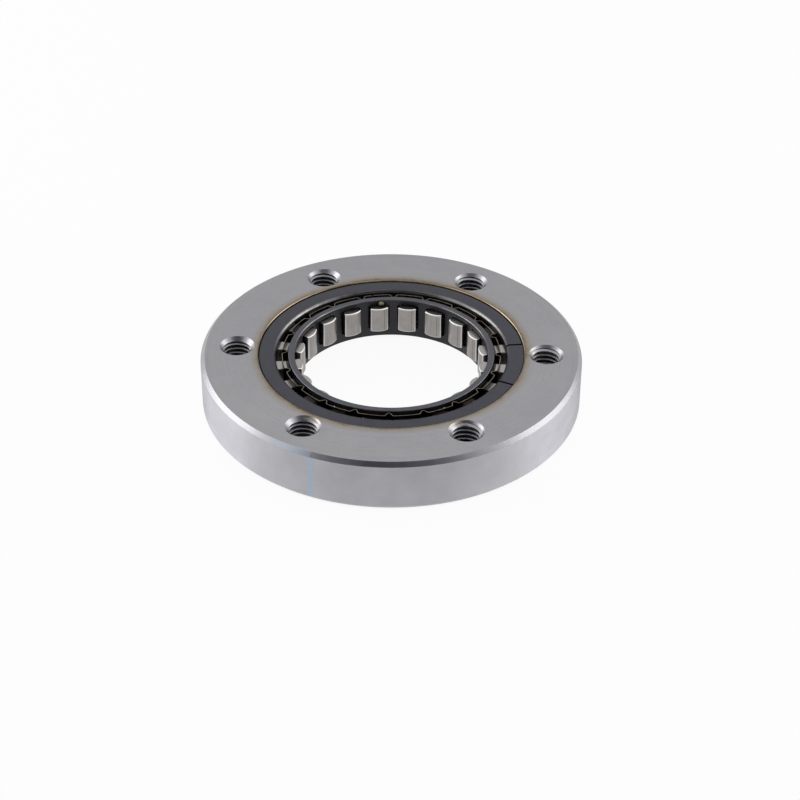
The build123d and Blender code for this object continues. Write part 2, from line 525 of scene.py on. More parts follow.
# %% [markdown]
# ## The ribbon spring
#
# Between the cages runs a thin spring strip. Each sprag's waist passes through a window in it, and a crimp
# between every two windows presses the sprags gently towards the wedge. The strip is a circle of short
# edges, extruded upwards in three bands. A crimp is made by pushing a few columns inwards. The windows are
# columns of the middle band, deleted, and one more column is deleted where the strip's two ends meet.
# Solidify gives the strip its fifth of a millimetre. At one end the strip has a hook over the sprag there,
# with a turned-up tip.

# %% Roll the strip
ribbon_columns = 480
ribbon_inside = 27.4 * mm
crimp_tip_radius = 26.25 * mm
ribbon_thickness = 0.2 * mm
ribbon_low = cage_bottom + 0.5 * mm
ribbon_top = flange_top - 0.35 * mm
ribbon_window = (sprag_middle - 3.5 * mm, sprag_middle + 3.5 * mm)
column = math.tau / ribbon_columns

clear_selection()
bpy.ops.mesh.primitive_circle_add(vertices=ribbon_columns, radius=ribbon_inside, location=(0, 0, ribbon_low))
ribbon = bpy.context.object
ribbon.name = "crimped_ribbon"
bpy.ops.object.transform_apply()
edit(ribbon)
select_whole()
for below, above in zip((ribbon_low, *ribbon_window), (*ribbon_window, ribbon_top)):
    bpy.ops.mesh.extrude_region_move(TRANSFORM_OT_translate={"value": (0, 0, above - below)})
print("strip:", ribbon_columns, "columns of", round(math.degrees(column), 2), "degrees")

# %% Crimp it between the sprags
def from_sprag(angle, offset=0.0):
    """How far an angle is from the nearest sprag or, offset by half a pitch, from the nearest crimp."""
    return abs((angle - offset + pitch_angle / 2) % pitch_angle - pitch_angle / 2)


# how far in each column is pushed, counted from a crimp's middle
crimp_radii = {2: (ribbon_inside + crimp_tip_radius) / 2, 1: crimp_tip_radius, 0: crimp_tip_radius}
for step, crimp_radius in crimp_radii.items():
    shift = step * column
    pick("VERT", lambda radius, angle, height: abs(from_sprag(angle, pitch_angle / 2) - shift) < column / 4)
    scale = crimp_radius / ribbon_inside
    bpy.ops.transform.resize(value=(scale, scale, 1), center_override=(0, 0, 0))
print("crimps:", round((ribbon_inside - crimp_tip_radius) / mm, 2), "mm deep")

# %% Open the windows and give the strip its thickness
window_low, window_high = ribbon_window
window_half = 6 * column
hooked_sprag = pitch_angle * (sprag_count // 4)
end_slot = hooked_sprag + 3.5 * column
pick(
    "FACE",
    lambda radius, angle, height: from_sprag(angle) < window_half and window_low < height < window_high,
)
bpy.ops.mesh.delete(type="FACE")
pick("FACE", lambda radius, angle, height: abs(angle - end_slot) < 0.6 * column)
bpy.ops.mesh.delete(type="FACE")
select_whole()
bpy.ops.mesh.normals_make_consistent(inside=False)
leave_edit()
modify(ribbon, "SOLIDIFY", thickness=ribbon_thickness, offset=1, use_even_offset=True)
print("ribbon:", len(ribbon.data.polygons), "faces", [round(size / mm, 2) for size in ribbon.dimensions])

# %% Add the hook at the strip's end
hook_bottom = sprag_high + 0.17 * mm
hook_tip = inner_inside - 0.65 * mm
hook_width = 1.4 * mm
hook_rise = 1.4 * mm
hook_aside = 0.6 * mm
hook_corner = 0.6 * mm
hook_bend = hook_tip + ribbon_thickness
hook_skin = hook_bottom + 0.9 * ribbon_thickness
hook_top = hook_bottom + hook_rise - 0.01 * mm

hook_middle = ((hook_tip + ribbon_inside) / 2, 0, hook_bottom + ribbon_thickness / 2)
hook = add_block((ribbon_inside - hook_tip + ribbon_thickness, hook_width, ribbon_thickness), hook_middle)
edit(hook)
select_whole()
bpy.ops.mesh.bisect(plane_co=(hook_bend, 0, 0), plane_no=(1, 0, 0))
pick("FACE", lambda radius, angle, height: radius < hook_bend and height > hook_skin)
bpy.ops.mesh.extrude_region_move(TRANSFORM_OT_translate={"value": (0, 0, hook_rise - ribbon_thickness)})
pick("EDGE", lambda radius, angle, height: abs(angle) > 0.02 and height > hook_top)
bpy.ops.mesh.bevel(offset=hook_corner, segments=6)
leave_edit()
hook.data.transform(Matrix.Rotation(hooked_sprag - hook_aside / hook_tip, 4, "Z"))
clear_selection()
hook.select_set(True)
ribbon.select_set(True)
bpy.context.view_layer.objects.active = ribbon
bpy.ops.object.join()
round_edges(ribbon, 0.07 * mm, angle=60)
smooth(ribbon, 40)
settle(ribbon, first_angle, "cage_unit", "ribbon_spring")

# %% [markdown]
# ## The sprags
#
# A sprag is drawn with compasses: a small cam at the outer end, a larger one at the inner end on a centre
# set to one side, and two hollow flanks. Each arc is a single vertex spun about the centre of its circle.
# The corner arcs are found as a draughtsman finds them, where two compass circles cross. The closed outline
# is filled, extruded to the sprag's length and given the narrow bright chamfer that barrel polishing
# leaves.

# %% Lay out the circles
def circle_centre(first, second, third):
    """The centre of the circle through three points."""
    a, b, c = (Vector(point) for point in (first, second, third))
    cross = 2 * (a.x * (b.y - c.y) + b.x * (c.y - a.y) + c.x * (a.y - b.y))
    a_square, b_square, c_square = a.length_squared, b.length_squared, c.length_squared
    return Vector((
        (a_square * (b.y - c.y) + b_square * (c.y - a.y) + c_square * (a.y - b.y)) / cross,
        (a_square * (c.x - b.x) + b_square * (a.x - c.x) + c_square * (b.x - a.x)) / cross,
    ))


def compass(centre, radius, other, other_radius, near):
    """Where two compass circles cross, on the side of the given point."""
    between = other - centre
    distance = between.length
    along = (radius**2 - other_radius**2 + distance**2) / (2 * distance)
    aside = math.sqrt(max(radius**2 - along**2, 0))
    foot = centre + between * along / distance
    across = Vector((-between.y, between.x)) * aside / distance
    return min((foot + across, foot - across), key=lambda point: (point - near).length)


half_width = 2.425 * mm
half_waist = 1.9 * mm
outer_cam = Vector((pivot_radius, 0))
outer_cam_radius = 3.4 * mm
inner_cam = Vector((26.951 * mm, 0.15 * mm))
inner_cam_radius = 4.6 * mm
outer_x = pivot_radius + math.sqrt(outer_cam_radius**2 - half_width**2)
heel = Vector((inner_cam.x - math.sqrt(inner_cam_radius**2 - (half_width - inner_cam.y) ** 2), half_width))
nose = Vector((inner_cam.x - math.sqrt(inner_cam_radius**2 - (half_width + inner_cam.y) ** 2), -half_width))
flanks = {
    1: circle_centre((outer_x, half_width), (pivot_radius, half_waist), heel),
    -1: circle_centre((outer_x, -half_width), (pivot_radius, -half_waist), nose),
}
print("flank centres:", [tuple(round(value / mm, 2) for value in centre) for centre in flanks.values()])

# %% Find the corners' arcs
corner_radius = 0.4 * mm
heel_radius = 0.25 * mm
nose_radius = 0.3 * mm
# each corner: its cam, the cam's radius, its flank's side, its own radius and about where it is
sprag_corners = [
    (outer_cam, outer_cam_radius, -1, corner_radius, Vector((outer_x, -half_width))),
    (outer_cam, outer_cam_radius, 1, corner_radius, Vector((outer_x, half_width))),
    (inner_cam, inner_cam_radius, 1, heel_radius, heel),
    (inner_cam, inner_cam_radius, -1, nose_radius, nose),
]
outline = []
for cam, cam_radius, side, rounding, place in sprag_corners:
    flank = flanks[side]
    flank_radius = (flank - Vector((pivot_radius, side * half_waist))).length
    centre = compass(cam, cam_radius - rounding, flank, flank_radius + rounding, place)
    on_cam = cam + (centre - cam).normalized() * cam_radius
    on_flank = flank + (centre - flank).normalized() * flank_radius
    outline.append((centre, on_cam, on_flank))

nose_out, heel_out, heel_in, nose_in = outline
# each arc: its centre, its two ends and its number of steps
arcs = [
    (outer_cam, nose_out[1], heel_out[1], 14),
    (heel_out[0], heel_out[1], heel_out[2], 4),
    (flanks[1], heel_out[2], heel_in[2], 8),
    (heel_in[0], heel_in[2], heel_in[1], 4),
    (inner_cam, heel_in[1], nose_in[1], 10),
    (nose_in[0], nose_in[1], nose_in[2], 6),
    (flanks[-1], nose_in[2], nose_out[2], 8),
    (nose_out[0], nose_out[2], nose_out[1], 4),
]
print("outline:", len(arcs), "arcs with", sum(arc[-1] for arc in arcs), "steps")

# %% Spin the outline
clear_selection()
bpy.ops.mesh.primitive_plane_add(size=1 * mm, location=(*arcs[0][1], sprag_low))
sprag = bpy.context.object
sprag.name = "sprag_blank"
bpy.ops.object.transform_apply()
edit(sprag)
select_whole()
bpy.ops.mesh.merge(type="CENTER")
for centre, start, end, steps in arcs:
    mesh = bmesh.from_edit_mesh(sprag.data)
    bpy.ops.mesh.select_mode(type="VERT")
    bpy.ops.mesh.select_all(action="DESELECT")
    nearest = min(mesh.verts, key=lambda vert: (vert.co.xy - start).length)
    nearest.select_set(True)
    bmesh.update_edit_mesh(sprag.data)
    clockwise_angle = (start - centre).angle_signed(end - centre)
    bpy.ops.mesh.spin(steps=steps, angle=clockwise_angle, center=(*centre, sprag_low), axis=(0, 0, 1))

# %% Fill, extrude and chamfer it
end_chamfer_height = 0.14 * mm
end_chamfer_depth = 0.22 * mm
tidy_mesh()
bpy.ops.mesh.edge_face_add()
bpy.ops.mesh.extrude_region_move(TRANSFORM_OT_translate={"value": (0, 0, sprag_high - sprag_low)})
select_whole()
bpy.ops.mesh.normals_make_consistent(inside=False)
for end, towards in ((sprag_low, 1), (sprag_high, -1)):
    pick("FACE", lambda radius, angle, height: abs(height - end) < 0.01 * mm)
    bpy.ops.transform.translate(value=(0, 0, towards * end_chamfer_height))
    bpy.ops.mesh.inset(thickness=end_chamfer_depth, depth=end_chamfer_height)
leave_edit()
round_edges(sprag, 0.04 * mm, angle=20, segments=1)
smooth(sprag, 25)

# %% Copy it into every window
for number, name in enumerate(sprag_names):
    copy = duplicate(sprag)
    copy.name = "polished_" + name
    settle(copy, first_angle + number * pitch_angle, name, name)
bpy.data.objects.remove(sprag)
print(len(sprag_names), "sprags set in place")

# %% [markdown]
# ## Materials
#
# Every finish here is drawn by nodes in Object coordinates, which for these pieces are metres in the
# clutch's own frame. So a pattern can follow the distance from the axis, as turning marks do, and stays on
# the piece when it moves. Small helpers keep the node trees short: one adds a node and joins its sockets,
# one starts a material with its coordinates, the distance from the axis and a shader, and the rest are the
# steps that every finish uses: arithmetic, a ramp, a mix, a cloudy noise, a bump and the way a face looks.

# %% Tools for materials
def node(tree, kind, sockets=(), **settings):
    """Add a node, apply its settings, and set or join its input sockets."""
    new = tree.nodes.new("ShaderNode" + kind)
    for setting, value in settings.items():
        setattr(new, setting, value)
    for socket, value in dict(sockets).items():
        if isinstance(value, bpy.types.NodeSocket):
            tree.links.new(value, new.inputs[socket])
        else:
            new.inputs[socket].default_value = value
    return new


def calculate(tree, operation, *values):
    """One step of arithmetic on numbers or sockets."""
    return node(tree, "Math", dict(enumerate(values)), operation=operation).outputs[0]


def ramp(tree, value, *stops):
    """Colours or greys along a ramp, each stop a position and a grey or an (r, g, b)."""
    new = node(tree, "ValToRGB", {0: value})
    elements = new.color_ramp.elements
    while len(elements) < len(stops):
        elements.new(0.5)
    for element, (position, colour) in zip(elements, sorted(stops)):
        element.position = position
        element.color = (*colour, 1) if isinstance(colour, tuple) else (colour, colour, colour, 1)
    return new.outputs["Color"]


def mix(tree, factor, below, above, how="MIX"):
    """Lay one colour over another."""
    new = node(tree, "Mix", {0: factor, 6: below, 7: above}, data_type="RGBA", blend_type=how)
    return new.outputs[2]


# %% Tools for places on a piece
def flattened(tree, place):
    """A place with its height taken away."""
    return node(tree, "VectorMath", {0: place, 1: (1, 1, 0)}, operation="MULTIPLY").outputs["Vector"]


def bearing_of(tree, place):
    """The angle of a place round the axis."""
    parts = node(tree, "SeparateXYZ", {0: place}).outputs
    return calculate(tree, "ARCTAN2", parts["Y"], parts["X"])


def height_of(tree, place):
    """The height of a place."""
    return node(tree, "SeparateXYZ", {0: place}).outputs["Z"]


def upward(tree):
    """How far a face looks up: 1 on top, 0 upright, -1 underneath. It reads the piece's own normal."""
    return height_of(tree, node(tree, "TexCoord").outputs["Normal"])


# %% Tools for starting and dressing a material
def start_material(name, finish):
    """A material with a Principled shader, its Object coordinates and the distance from the clutch's axis."""
    material = bpy.data.materials.new(name)
    material.use_nodes = True
    tree = material.node_tree
    shader = tree.nodes["Principled BSDF"]
    for socket, value in finish.items():
        shader.inputs[socket].default_value = value
    place = node(tree, "TexCoord").outputs["Object"]
    radius = node(tree, "VectorMath", {0: flattened(tree, place)}, operation="LENGTH").outputs["Value"]
    return material, tree, shader, place, radius


def noise(tree, vector, size, detail=3.0, roughness=0.5):
    """A cloudy pattern whose patches are about the given size."""
    sockets = {"Vector": vector, "Scale": 1 / size, "Detail": detail, "Roughness": roughness}
    return node(tree, "TexNoise", sockets).outputs[0]


def dress(tree, shader, colour, roughness):
    """Join a finish's colour and roughness to its shader."""
    tree.links.new(colour, shader.inputs["Base Color"])
    tree.links.new(roughness, shader.inputs["Roughness"])


def bump(tree, shader, height, depth, strength=1.0):
    """Let a grey pattern raise the surface by up to the given depth."""
    sockets = {"Strength": strength, "Distance": depth, "Height": height}
    tree.links.new(node(tree, "Bump", sockets).outputs[0], shader.inputs["Normal"])


# %% [markdown]
# ## Turned and ground steel
#
# The ring is turned, hardened and ground, and each of its surfaces has its own finish. Grinding leaves
# rings on the faces, too fine to see one by one, which streak the reflection round the axis. Hardening heat
# leaves a straw and brown tint next to the pocket, strongest there and uneven round it, and the pocket's edge
# chamfer is painted lighter still, partly tint and partly a painted highlight. A pale blue reflection is
# painted down the rim at one bearing, with a pale blue stretch of chamfer beside it. The rim was left as
# turned, so its grooves spread light up and down: that is what the shader's anisotropy is for. The bore is
# painted dark, as shade.
#
# All three start from the same streaks: noise whose coordinates are the distance from the axis and the
# height, both enlarged, so that it changes quickly across the grooves and hardly at all along them.

# %% Draw the grooves
across_grooves = 60
along_grooves = 0.012


def grooves(tree, place, radius):
    """Streaks that run round the axis."""
    bearing = node(tree, "VectorMath", {0: flattened(tree, place)}, operation="NORMALIZE").outputs["Vector"]
    slow = node(
        tree, "VectorMath", {0: bearing, 1: (along_grooves, along_grooves, 0)}, operation="MULTIPLY"
    ).outputs["Vector"]
    quick = node(tree, "CombineXYZ", {
        0: calculate(tree, "MULTIPLY", radius, across_grooves),
        1: calculate(tree, "MULTIPLY", height_of(tree, place), across_grooves),
    }).outputs[0]
    pattern = node(tree, "VectorMath", {0: quick, 1: slow}, operation="ADD").outputs["Vector"]
    return noise(tree, pattern, 8 * mm, 4)


# %% Grind the faces and tint them
# the bearing and span of a pale blue reflection painted down the rim and on the outer chamfer
painted_reflection_bearing = math.radians(-110.7)
painted_reflection_span = math.radians(17)
edge_width = 0.2 * mm


def ground_face():
    """The ground faces and chamfers, with the heat tint next to the pocket, a painted highlight on the
    pocket's edge and a painted blue reflection on the outer chamfer.
    """
    material, tree, shader, place, radius = start_material("ground_ring_face", {"Metallic": 1.0})
    streaks = grooves(tree, place, radius)
    clouds = noise(tree, place, 9 * mm, detail=4, roughness=0.6)
    specks = noise(tree, place, 0.35 * mm, detail=2)
    steel = ramp(tree, clouds, (0.3, (0.308, 0.305, 0.322)), (0.7, (0.35, 0.348, 0.363)))
    steel = mix(tree, 0.35, steel, ramp(tree, streaks, (0.35, 0.42), (0.65, 0.58)), "OVERLAY")
    steel = mix(tree, 0.15, steel, ramp(tree, specks, (0.3, 0.3), (0.7, 0.7)), "OVERLAY")

    wander = calculate(tree, "MULTIPLY_ADD", noise(tree, place, 9 * mm, 6, 0.75), 3.4 * mm, -1.7 * mm)
    from_pocket = calculate(tree, "SUBTRACT", calculate(tree, "SUBTRACT", radius, pocket_radius), wander)
    tint = ramp(
        tree,
        calculate(tree, "DIVIDE", from_pocket, 4 * mm),
        (0.0, (0.40, 0.29, 0.17)),
        (0.10, (0.66, 0.53, 0.37)),
        (0.28, (0.88, 0.80, 0.68)),
        (0.6, (1.0, 0.975, 0.95)),
        (0.9, 1.0),
    )
    on_top = calculate(tree, "GREATER_THAN", height_of(tree, place), pocket_floor)
    steel = mix(tree, on_top, steel, mix(tree, 1.0, steel, tint, "MULTIPLY"))
    # the pocket's edge chamfer: a straw tint lighter than the tint round it, as a painted highlight
    at_edge = calculate(tree, "LESS_THAN", radius, pocket_radius + edge_width)
    straw_and_highlight = ramp(tree, clouds, (0.35, (0.18, 0.13, 0.08)), (0.6, (0.42, 0.34, 0.24)))
    steel = mix(tree, at_edge, steel, straw_and_highlight)

    # a pale blue reflection painted on a stretch of the outer chamfer
    past_start = calculate(tree, "SUBTRACT", bearing_of(tree, place), painted_reflection_bearing - painted_reflection_span)
    along = calculate(tree, "DIVIDE", past_start, painted_reflection_span)
    painted_blue_reflection = ramp(tree, along, (0.0, 0.0), (0.5, 1.0), (0.98, 1.0), (1.0, 0.0))
    on_chamfer = calculate(tree, "GREATER_THAN", radius, ring_radius - 1.1 * mm)
    steel = mix(tree, calculate(tree, "MULTIPLY", painted_blue_reflection, on_chamfer), steel, (0.4, 0.435, 0.49, 1))
    dress(tree, shader, steel, ramp(tree, clouds, (0.3, 0.30), (0.7, 0.38)))
    bump(tree, shader, streaks, 0.004 * mm)
    return material


# %% Turn the rim and paint the bore's shade
def turned_rim():
    """The rim as the lathe left it, with a pale blue reflection painted down it."""
    material, tree, shader, place, radius = start_material("turned_ring_rim", {
        "Metallic": 1.0,
        "Anisotropic": 0.85,
        "Anisotropic Rotation": 0.25,
        "Specular Tint": (0.2, 0.2, 0.2, 1),
    })
    streaks = grooves(tree, place, radius)
    clouds = noise(tree, place, 7 * mm, detail=4, roughness=0.6)
    steel = ramp(tree, clouds, (0.3, (0.535, 0.532, 0.566)), (0.7, (0.6, 0.597, 0.632)))
    steel = mix(tree, 0.3, steel, ramp(tree, streaks, (0.35, 0.42), (0.65, 0.58)), "OVERLAY")
    # the painted blue reflection fades between these two angles, in radians, from its middle
    from_painted_reflection = calculate(tree, "SUBTRACT", bearing_of(tree, place), painted_reflection_bearing)
    painted_blue_reflection = ramp(tree, calculate(tree, "ABSOLUTE", from_painted_reflection), (0.009, 0.7), (0.021, 0.0))
    steel = mix(tree, painted_blue_reflection, steel, (0.495, 0.585, 0.735, 1))
    dress(tree, shader, steel, ramp(tree, streaks, (0.3, 0.5), (0.7, 0.6)))
    tangent = node(tree, "Tangent", direction_type="RADIAL", axis="Z").outputs[0]
    tree.links.new(tangent, shader.inputs["Tangent"])
    bump(tree, shader, streaks, 0.004 * mm)
    return material


def shaded_bore():
    """The bore and the pocket, painted dark as the shade inside the clutch."""
    material, tree, shader, place, radius = start_material("painted_shade_ring_bore", {"Metallic": 0.8})
    streaks = grooves(tree, place, radius)
    film = noise(tree, place, 3 * mm, detail=4)
    # the bore's dark tones are painted shade
    steel = ramp(tree, film, (0.35, (0.022, 0.02, 0.018)), (0.7, (0.06, 0.055, 0.05)))
    dress(tree, shader, steel, ramp(tree, film, (0.3, 0.25), (0.7, 0.4)))
    bump(tree, shader, streaks, 0.003 * mm)
    return material


# %% Give the ring its finishes
skin = 0.02 * mm


def give(piece, material, wanted=None):
    """Give a piece a material all over, or only to the faces that pass the test."""
    if wanted is None:
        piece.data.materials.clear()
    piece.data.materials.append(material)
    if wanted is not None:
        edit(piece)
        count = pick("FACE", wanted)
        piece.active_material_index = len(piece.data.materials) - 1
        bpy.ops.object.material_slot_assign()
        leave_edit()
        print(f"{material.name}: {count} faces")


give(ring, ground_face())
give(ring, turned_rim(), lambda radius, angle, height: radius > ring_radius - skin)
give(ring, shaded_bore(), lambda radius, angle, height: radius < pocket_radius - skin)

# %% [markdown]
# ## Phosphated sheet
#
# The cages are phosphated: small grey crystals hold oil and make the sheet a matt blue-black. The press and
# handling have rubbed the rolled corner and the rims, where grey steel shows through; these lighter edges are
# partly wear and partly a painted highlight, and on two stretches they are painted near-white as highlights.
# A worn place is found by how the surface faces: neither flat nor upright means a rounded edge. The upright
# walls are painted darker than the flat rims, as shade, and the slits are painted nearly black, as shade.

# %% Find the two painted highlight stretches
painted_highlight_bearings = (math.radians(42), math.radians(148))
painted_highlight_reach = math.radians(35)


def near_painted_highlight(tree, place):
    """White at the two painted highlight stretches, fading to black on both sides of each."""
    bearing = bearing_of(tree, place)
    patch = 0.0
    for highlight_bearing in painted_highlight_bearings:
        away = calculate(tree, "SUBTRACT", bearing, highlight_bearing)
        away = calculate(tree, "ABSOLUTE", calculate(tree, "WRAP", away, math.pi, -math.pi))
        patch = calculate(tree, "MAXIMUM", patch, ramp(tree, away, (0.1, 1.0), (painted_highlight_reach, 0.0)))
    return patch


# %% Make the cages' coating
def phosphate(name, rim_tone, painted_shade_wall_tone, wear_and_sheen_tone):
    """A phosphate coat with its own tones for the rim, the wall's painted shade and the edges' wear and
    painted highlight.
    """
    material, tree, shader, place, radius = start_material(name, {"Metallic": 0.6})
    crystals = noise(tree, place, 0.25 * mm, detail=3, roughness=0.7)
    patches = noise(tree, place, 4 * mm, detail=4, roughness=0.6)
    facing = upward(tree)
    # upright walls take a darker tone than flat rims: painted shade
    tone = mix(tree, ramp(tree, facing, (0.3, 0.0), (0.9, 1.0)), (*painted_shade_wall_tone, 1), (*rim_tone, 1))
    tone = mix(tree, 0.6, tone, ramp(tree, patches, (0.3, 0.35), (0.7, 0.65)), "OVERLAY")
    oil = noise(tree, place, 2.2 * mm, 3)
    film = ramp(tree, oil, (0.35, (0.6, 0.44, 0.66)), (0.5, 0.5), (0.65, (0.39, 0.57, 0.5)))
    tone = mix(tree, 0.8, tone, film, "OVERLAY")
    tone = mix(tree, 0.5, tone, ramp(tree, crystals, (0.3, 0.3), (0.7, 0.7)), "OVERLAY")
    # upright faces out in the flange, the slits' walls among them, are painted nearly black as shade
    beyond_wall = calculate(tree, "GREATER_THAN", radius, wall_outside + 0.2 * mm)
    painted_slit_shade = calculate(tree, "MULTIPLY", beyond_wall, calculate(tree, "LESS_THAN", facing, 0.3))
    tone = mix(tree, painted_slit_shade, tone, (0.005, 0.005, 0.006, 1))
    # rounded edges are lightened, partly as wear and partly as a painted highlight
    slanted = ramp(tree, facing, (0.15, 0.0), (0.45, 1.0), (0.85, 1.0), (0.97, 0.0))
    rubbed_and_sheen_patches = ramp(tree, patches, (0.3, 0.35), (0.6, 1.0))
    wear_and_sheen_mask = calculate(tree, "MULTIPLY", slanted, rubbed_and_sheen_patches)
    # at the two stretches the edge tone turns near-white: a painted highlight
    wear_and_highlight = mix(tree, near_painted_highlight(tree, place), (*wear_and_sheen_tone, 1), (0.34, 0.33, 0.32, 1))
    matt = ramp(tree, patches, (0.3, 0.3), (0.7, 0.44))
    dress(tree, shader, mix(tree, wear_and_sheen_mask, tone, wear_and_highlight), mix(tree, wear_and_sheen_mask, matt, (0.24, 0.24, 0.24, 1)))
    bump(tree, shader, crystals, 0.008 * mm, 0.6)
    return material


give(outer_cage, phosphate(
    "phosphated_outer_sheet",
    rim_tone=(0.046, 0.0465, 0.057),
    painted_shade_wall_tone=(0.02, 0.019, 0.022),
    wear_and_sheen_tone=(0.1, 0.096, 0.096),
))
give(inner_cage, phosphate(
    "phosphated_inner_sheet",
    rim_tone=(0.083, 0.082, 0.093),
    painted_shade_wall_tone=(0.027, 0.026, 0.03),
    wear_and_sheen_tone=(0.16, 0.16, 0.175),
))
print("coated:", outer_cage.name, "and", inner_cage.name)

# %% [markdown]
# ## Tempered strip and ground sprags
#
# The ribbon is slit from strip that was tempered to a dark brown, so its faces are dark and its cut edges
# show tan metal. The sprags are drawn bar: the cams and flanks are ground lengthwise, with a lighter border
# at the inner head's sides and ends that is a painted highlight, and a dark line painted down the inner
# head's face. The ends are sheared, and are painted dark inside the inner cage's windows as shade. The
# chamfer between them is painted near-white at the inner head, the brightest line on the whole clutch and a
# painted highlight, and dark elsewhere, as shade between the cages.

# %% Temper the ribbon
def tempered_strip():
    """Dark faces and tan cut edges."""
    material, tree, shader, place, radius = start_material("tempered_strip", {"Metallic": 1.0})
    streaks = noise(tree, place, 1.5 * mm, detail=4)
    face = ramp(tree, streaks, (0.3, (0.03, 0.023, 0.018)), (0.7, (0.06, 0.047, 0.038)))
    edge = ramp(tree, streaks, (0.3, (0.15, 0.125, 0.105)), (0.7, (0.27, 0.23, 0.195)))
    cut_edge = ramp(tree, upward(tree), (0.75, 0.0), (0.95, 1.0))
    strip = mix(tree, cut_edge, face, edge)
    raised = calculate(tree, "GREATER_THAN", height_of(tree, place), hook_bottom + 0.35 * mm)
    at_tip = calculate(tree, "MULTIPLY", raised, calculate(tree, "LESS_THAN", radius, inner_inside))
    bare = ramp(tree, noise(tree, place, 0.5 * mm), (0.35, (0.1, 0.08, 0.065)), (0.6, (0.3, 0.25, 0.2)))
    dress(tree, shader, mix(tree, at_tip, strip, bare), ramp(tree, streaks, (0.3, 0.28), (0.7, 0.42)))
    bump(tree, shader, streaks, 0.01 * mm, 0.4)
    return material


give(ribbon, tempered_strip())

# %% Measure places on a sprag
# the band round the inner cage's wall in which the sprags' ends are painted dark, as shade
head_middle = (inner_inside + inner_outside) / 2 + 0.3 * mm
head_reach = 1.1 * mm
# where a dark line is painted down the inner head's face, to one side of its middle, and its half-width
dark_line_place = -1.3 * mm
dark_line_width = 0.1 * mm


def place_on_sprag(tree, place, radius):
    """How far a place is to one side of its sprag's middle, and its shares of half the width and length."""
    bearing = calculate(tree, "SUBTRACT", bearing_of(tree, place), first_angle)
    from_middle = calculate(tree, "WRAP", bearing, pitch_angle / 2, -pitch_angle / 2)
    aside = calculate(tree, "MULTIPLY", from_middle, radius)
    along = calculate(tree, "SUBTRACT", height_of(tree, place), sprag_middle)
    sideways = calculate(tree, "DIVIDE", calculate(tree, "ABSOLUTE", aside), half_width)
    half_length = (sprag_high - sprag_low) / 2
    endways = calculate(tree, "DIVIDE", calculate(tree, "ABSOLUTE", along), half_length)
    return aside, sideways, endways


# %% Grind the sprags
def ground_sprag():
    """Ground cams and flanks with a painted highlight border and a dark line, chamfers painted as highlight
    and shade, and sheared ends painted dark as shade in the windows.
    """
    material, tree, shader, place, radius = start_material("ground_sprag_steel", {"Metallic": 1.0})
    stretched = node(tree, "Mapping", {"Vector": place, "Scale": (1, 1, 0.06)}).outputs[0]
    lines = noise(tree, stretched, 0.3 * mm, detail=3, roughness=0.6)
    clouds = noise(tree, place, 2.5 * mm, detail=3)
    body = ramp(tree, clouds, (0.3, (0.285, 0.268, 0.255)), (0.7, (0.335, 0.318, 0.305)))
    body = mix(tree, 0.3, body, ramp(tree, lines, (0.3, 0.3), (0.7, 0.7)), "OVERLAY")

    aside, sideways, endways = place_on_sprag(tree, place, radius)
    # a lighter border along the inner head's sides and ends: a painted highlight
    at_side = ramp(tree, sideways, (0.82, 0.0), (0.92, 1.0))
    at_end = ramp(tree, endways, (0.89, 0.0), (0.95, 1.0))
    at_tip = calculate(tree, "LESS_THAN", radius, inner_inside)
    painted_border_highlight = calculate(tree, "MULTIPLY", calculate(tree, "MAXIMUM", at_side, at_end), at_tip)
    body = mix(tree, painted_border_highlight, body, (0.55, 0.535, 0.52, 1))
    # a dark line painted down the inner head's face
    dark_line_mask = calculate(tree, "COMPARE", aside, dark_line_place, dark_line_width)
    dark_line_mask = calculate(tree, "MULTIPLY", dark_line_mask, calculate(tree, "LESS_THAN", endways, 0.9))
    body = mix(tree, calculate(tree, "MULTIPLY", dark_line_mask, at_tip), body, (0.2, 0.19, 0.175, 1))

    facing = calculate(tree, "ABSOLUTE", upward(tree))
    # the chamfer: painted near-white at the inner head as a highlight, and dark elsewhere as shade between
    # the cages
    chamfer_highlight_and_shade = mix(tree, at_tip, (0.1, 0.095, 0.09, 1), (0.9, 0.89, 0.87, 1))
    body = mix(tree, ramp(tree, facing, (0.25, 0.0), (0.5, 1.0)), body, chamfer_highlight_and_shade)
    # the ends are painted dark inside the inner cage's windows: painted shade
    painted_window_shade = calculate(tree, "COMPARE", radius, head_middle, head_reach)
    end_tone_and_window_shade = mix(tree, painted_window_shade, (0.35, 0.335, 0.325, 1), (0.05, 0.048, 0.046, 1))
    flat_end = ramp(tree, facing, (0.93, 0.0), (0.98, 1.0))
    ground = mix(tree, flat_end, ramp(tree, lines, (0.3, 0.26), (0.7, 0.4)), (0.3, 0.3, 0.3, 1))
    dress(tree, shader, mix(tree, flat_end, body, end_tone_and_window_shade), ground)
    bump(tree, shader, lines, 0.006 * mm, 0.5)
    return material


sprag_finish = ground_sprag()
for name in sprag_names:
    give(bpy.data.objects["polished_" + name], sprag_finish)
print("materials:", [material.name for material in bpy.data.materials])

# %% [markdown]
# ## Floor, camera and lights
#
# The clutch lies on a plain white floor in a white studio. Metal shows what surrounds it, so two soft boxes
# at the sides make its bright edges. A dark screen in two patches stands in the reflections only: the patch
# above the camera makes the front chamfer dark, and the one low behind the clutch darkens the walls between
# the cages. The floor and the world are white where the camera and the reflections see them, and dimmer for
# the light they give, so the surfaces keep their colour. The floor still takes the object's shadow.

